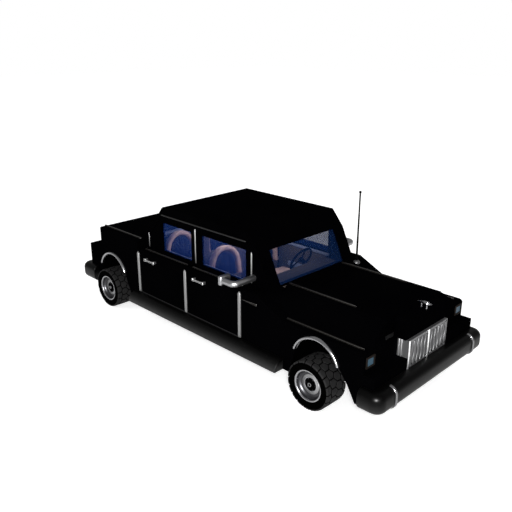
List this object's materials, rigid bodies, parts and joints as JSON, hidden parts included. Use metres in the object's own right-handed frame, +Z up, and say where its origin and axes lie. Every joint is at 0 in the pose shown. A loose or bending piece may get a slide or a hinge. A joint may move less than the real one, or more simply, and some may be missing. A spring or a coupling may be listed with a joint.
{
  "type": "stretch limousine",
  "caption": "Full-size black stretch limousine with opening doors, bonnet and boot, steered front wheels, deep-dish chrome rims, pointed chrome trims and blue tinted windows",
  "frame": {"origin": "on the ground plane, under the middle of the car's bounding box", "axes": "+X points forward along the car, +Y points to the car's left, +Z points up"},
  "size_m": [5.8086, 2.424, 2.024],
  "materials": {
    "paint": "gloss",
    "chrome": "polished",
    "rim_chrome": "polished",
    "tinted_glass": "gloss",
    "lamp_glass": "gloss",
    "red_lens": "gloss",
    "black_trim": "gloss",
    "pale_trim": "matte",
    "seat_fabric": "matte",
    "chassis_steel": "satin",
    "tyre": "matte"
  },
  "bodies": {
    "body": {"chassis_frame": "chassis_steel", "leaf_springs": "chassis_steel", "floor_pan": "black_trim", "running_boards": "black_trim", "engine_block": "chassis_steel", "front_wings": "paint", "rear_wings": "paint", "front_apron": "paint", "radiator_shell": "paint", "grille_bars": "chrome", "boot_tub": "pale_trim", "tail_panel": "paint", "roof_and_pillars": "paint", "fixed_windows": "tinted_glass", "scuttle_and_dash": "pale_trim", "middle_posts": "paint", "front_axle_beam": "chassis_steel", "rear_axle": "chassis_steel", "bumpers": "black_trim", "bumper_overriders": "chrome", "headlamp_frames": "black_trim", "headlamp_glasses": "lamp_glass", "tail_lamps": "red_lens", "seats": "seat_fabric", "partition": "pale_trim", "steering_column": "black_trim", "side_mirrors": "chrome", "aerial": "black_trim", "ornament": "chrome", "body_trim": "chrome", "hinges": "black_trim"},
    "bonnet": {"bonnet": "paint", "bonnet_trim": "chrome"},
    "boot_lid": {"boot_lid": "paint"},
    "steering_wheel": {"steering_wheel": "black_trim"},
    "right_knuckle": {"right_knuckle": "chassis_steel"},
    "right_front_wheel": {"right_front_tyre": "tyre", "right_front_rim": "rim_chrome"},
    "right_front_door": {"right_front_door": "paint", "right_front_door_glass": "tinted_glass", "right_front_door_trim": "chrome"},
    "right_rear_wheel": {"right_rear_tyre": "tyre", "right_rear_rim": "rim_chrome"},
    "right_rear_door": {"right_rear_door": "paint", "right_rear_door_glass": "tinted_glass", "right_rear_door_trim": "chrome"},
    "left_knuckle": {"left_knuckle": "chassis_steel"},
    "left_front_wheel": {"left_front_tyre": "tyre", "left_front_rim": "rim_chrome"},
    "left_front_door": {"left_front_door": "paint", "left_front_door_glass": "tinted_glass", "left_front_door_trim": "chrome"},
    "left_rear_wheel": {"left_rear_tyre": "tyre", "left_rear_rim": "rim_chrome"},
    "left_rear_door": {"left_rear_door": "paint", "left_rear_door_glass": "tinted_glass", "left_rear_door_trim": "chrome"}
  },
  "joints": [
    {"name": "right_steer", "type": "hinge", "parent": "body", "child": "right_knuckle", "pos_m": [1.978, -0.96, 0.296], "axis": [0, 0, 1], "range_deg": [-30, 30]},
    {"name": "right_front_spin", "type": "hinge", "parent": "right_knuckle", "child": "right_front_wheel", "pos_m": [1.978, -1.027, 0.296], "axis": [0, 1, 0], "continuous": true},
    {"name": "right_front_door_hinge", "type": "hinge", "parent": "body", "child": "right_front_door", "pos_m": [0.719, -1.036, 0.73], "axis": [0, 0, 1], "range_deg": [0, 60]},
    {"name": "right_rear_spin", "type": "hinge", "parent": "body", "child": "right_rear_wheel", "pos_m": [-2.042, -1.027, 0.296], "axis": [0, 1, 0], "continuous": true},
    {"name": "right_rear_door_hinge", "type": "hinge", "parent": "body", "child": "right_rear_door", "pos_m": [-0.331, -1.036, 0.73], "axis": [0, 0, 1], "range_deg": [0, 60]},
    {"name": "left_steer", "type": "hinge", "parent": "body", "child": "left_knuckle", "pos_m": [1.978, 0.96, 0.296], "axis": [0, 0, 1], "range_deg": [-30, 30]},
    {"name": "left_front_spin", "type": "hinge", "parent": "left_knuckle", "child": "left_front_wheel", "pos_m": [1.978, 1.027, 0.296], "axis": [0, 1, 0], "continuous": true},
    {"name": "left_front_door_hinge", "type": "hinge", "parent": "body", "child": "left_front_door", "pos_m": [0.719, 1.036, 0.73], "axis": [0, 0, -1], "range_deg": [0, 60]},
    {"name": "left_rear_spin", "type": "hinge", "parent": "body", "child": "left_rear_wheel", "pos_m": [-2.042, 1.027, 0.296], "axis": [0, 1, 0], "continuous": true},
    {"name": "left_rear_door_hinge", "type": "hinge", "parent": "body", "child": "left_rear_door", "pos_m": [-0.331, 1.036, 0.73], "axis": [0, 0, -1], "range_deg": [0, 60]},
    {"name": "bonnet_hinge", "type": "hinge", "parent": "body", "child": "bonnet", "pos_m": [1.12, 0, 1.026], "axis": [0, -1, 0], "range_deg": [0, 50]},
    {"name": "boot_hinge", "type": "hinge", "parent": "body", "child": "boot_lid", "pos_m": [-1.516, 0, 1.165], "axis": [0, 1, 0], "range_deg": [0, 70]},
    {"name": "steering", "type": "hinge", "parent": "body", "child": "steering_wheel", "pos_m": [0.5, 0.38, 1.01], "axis": [-0.9063, 0, 0.4226], "range_deg": [-360, 360]}
  ],
  "couplings": [
    {"joint": "right_steer", "follows": "left_steer", "ratio": 1},
    {"joint": "steering", "follows": "left_steer", "ratio": 12}
  ]
}
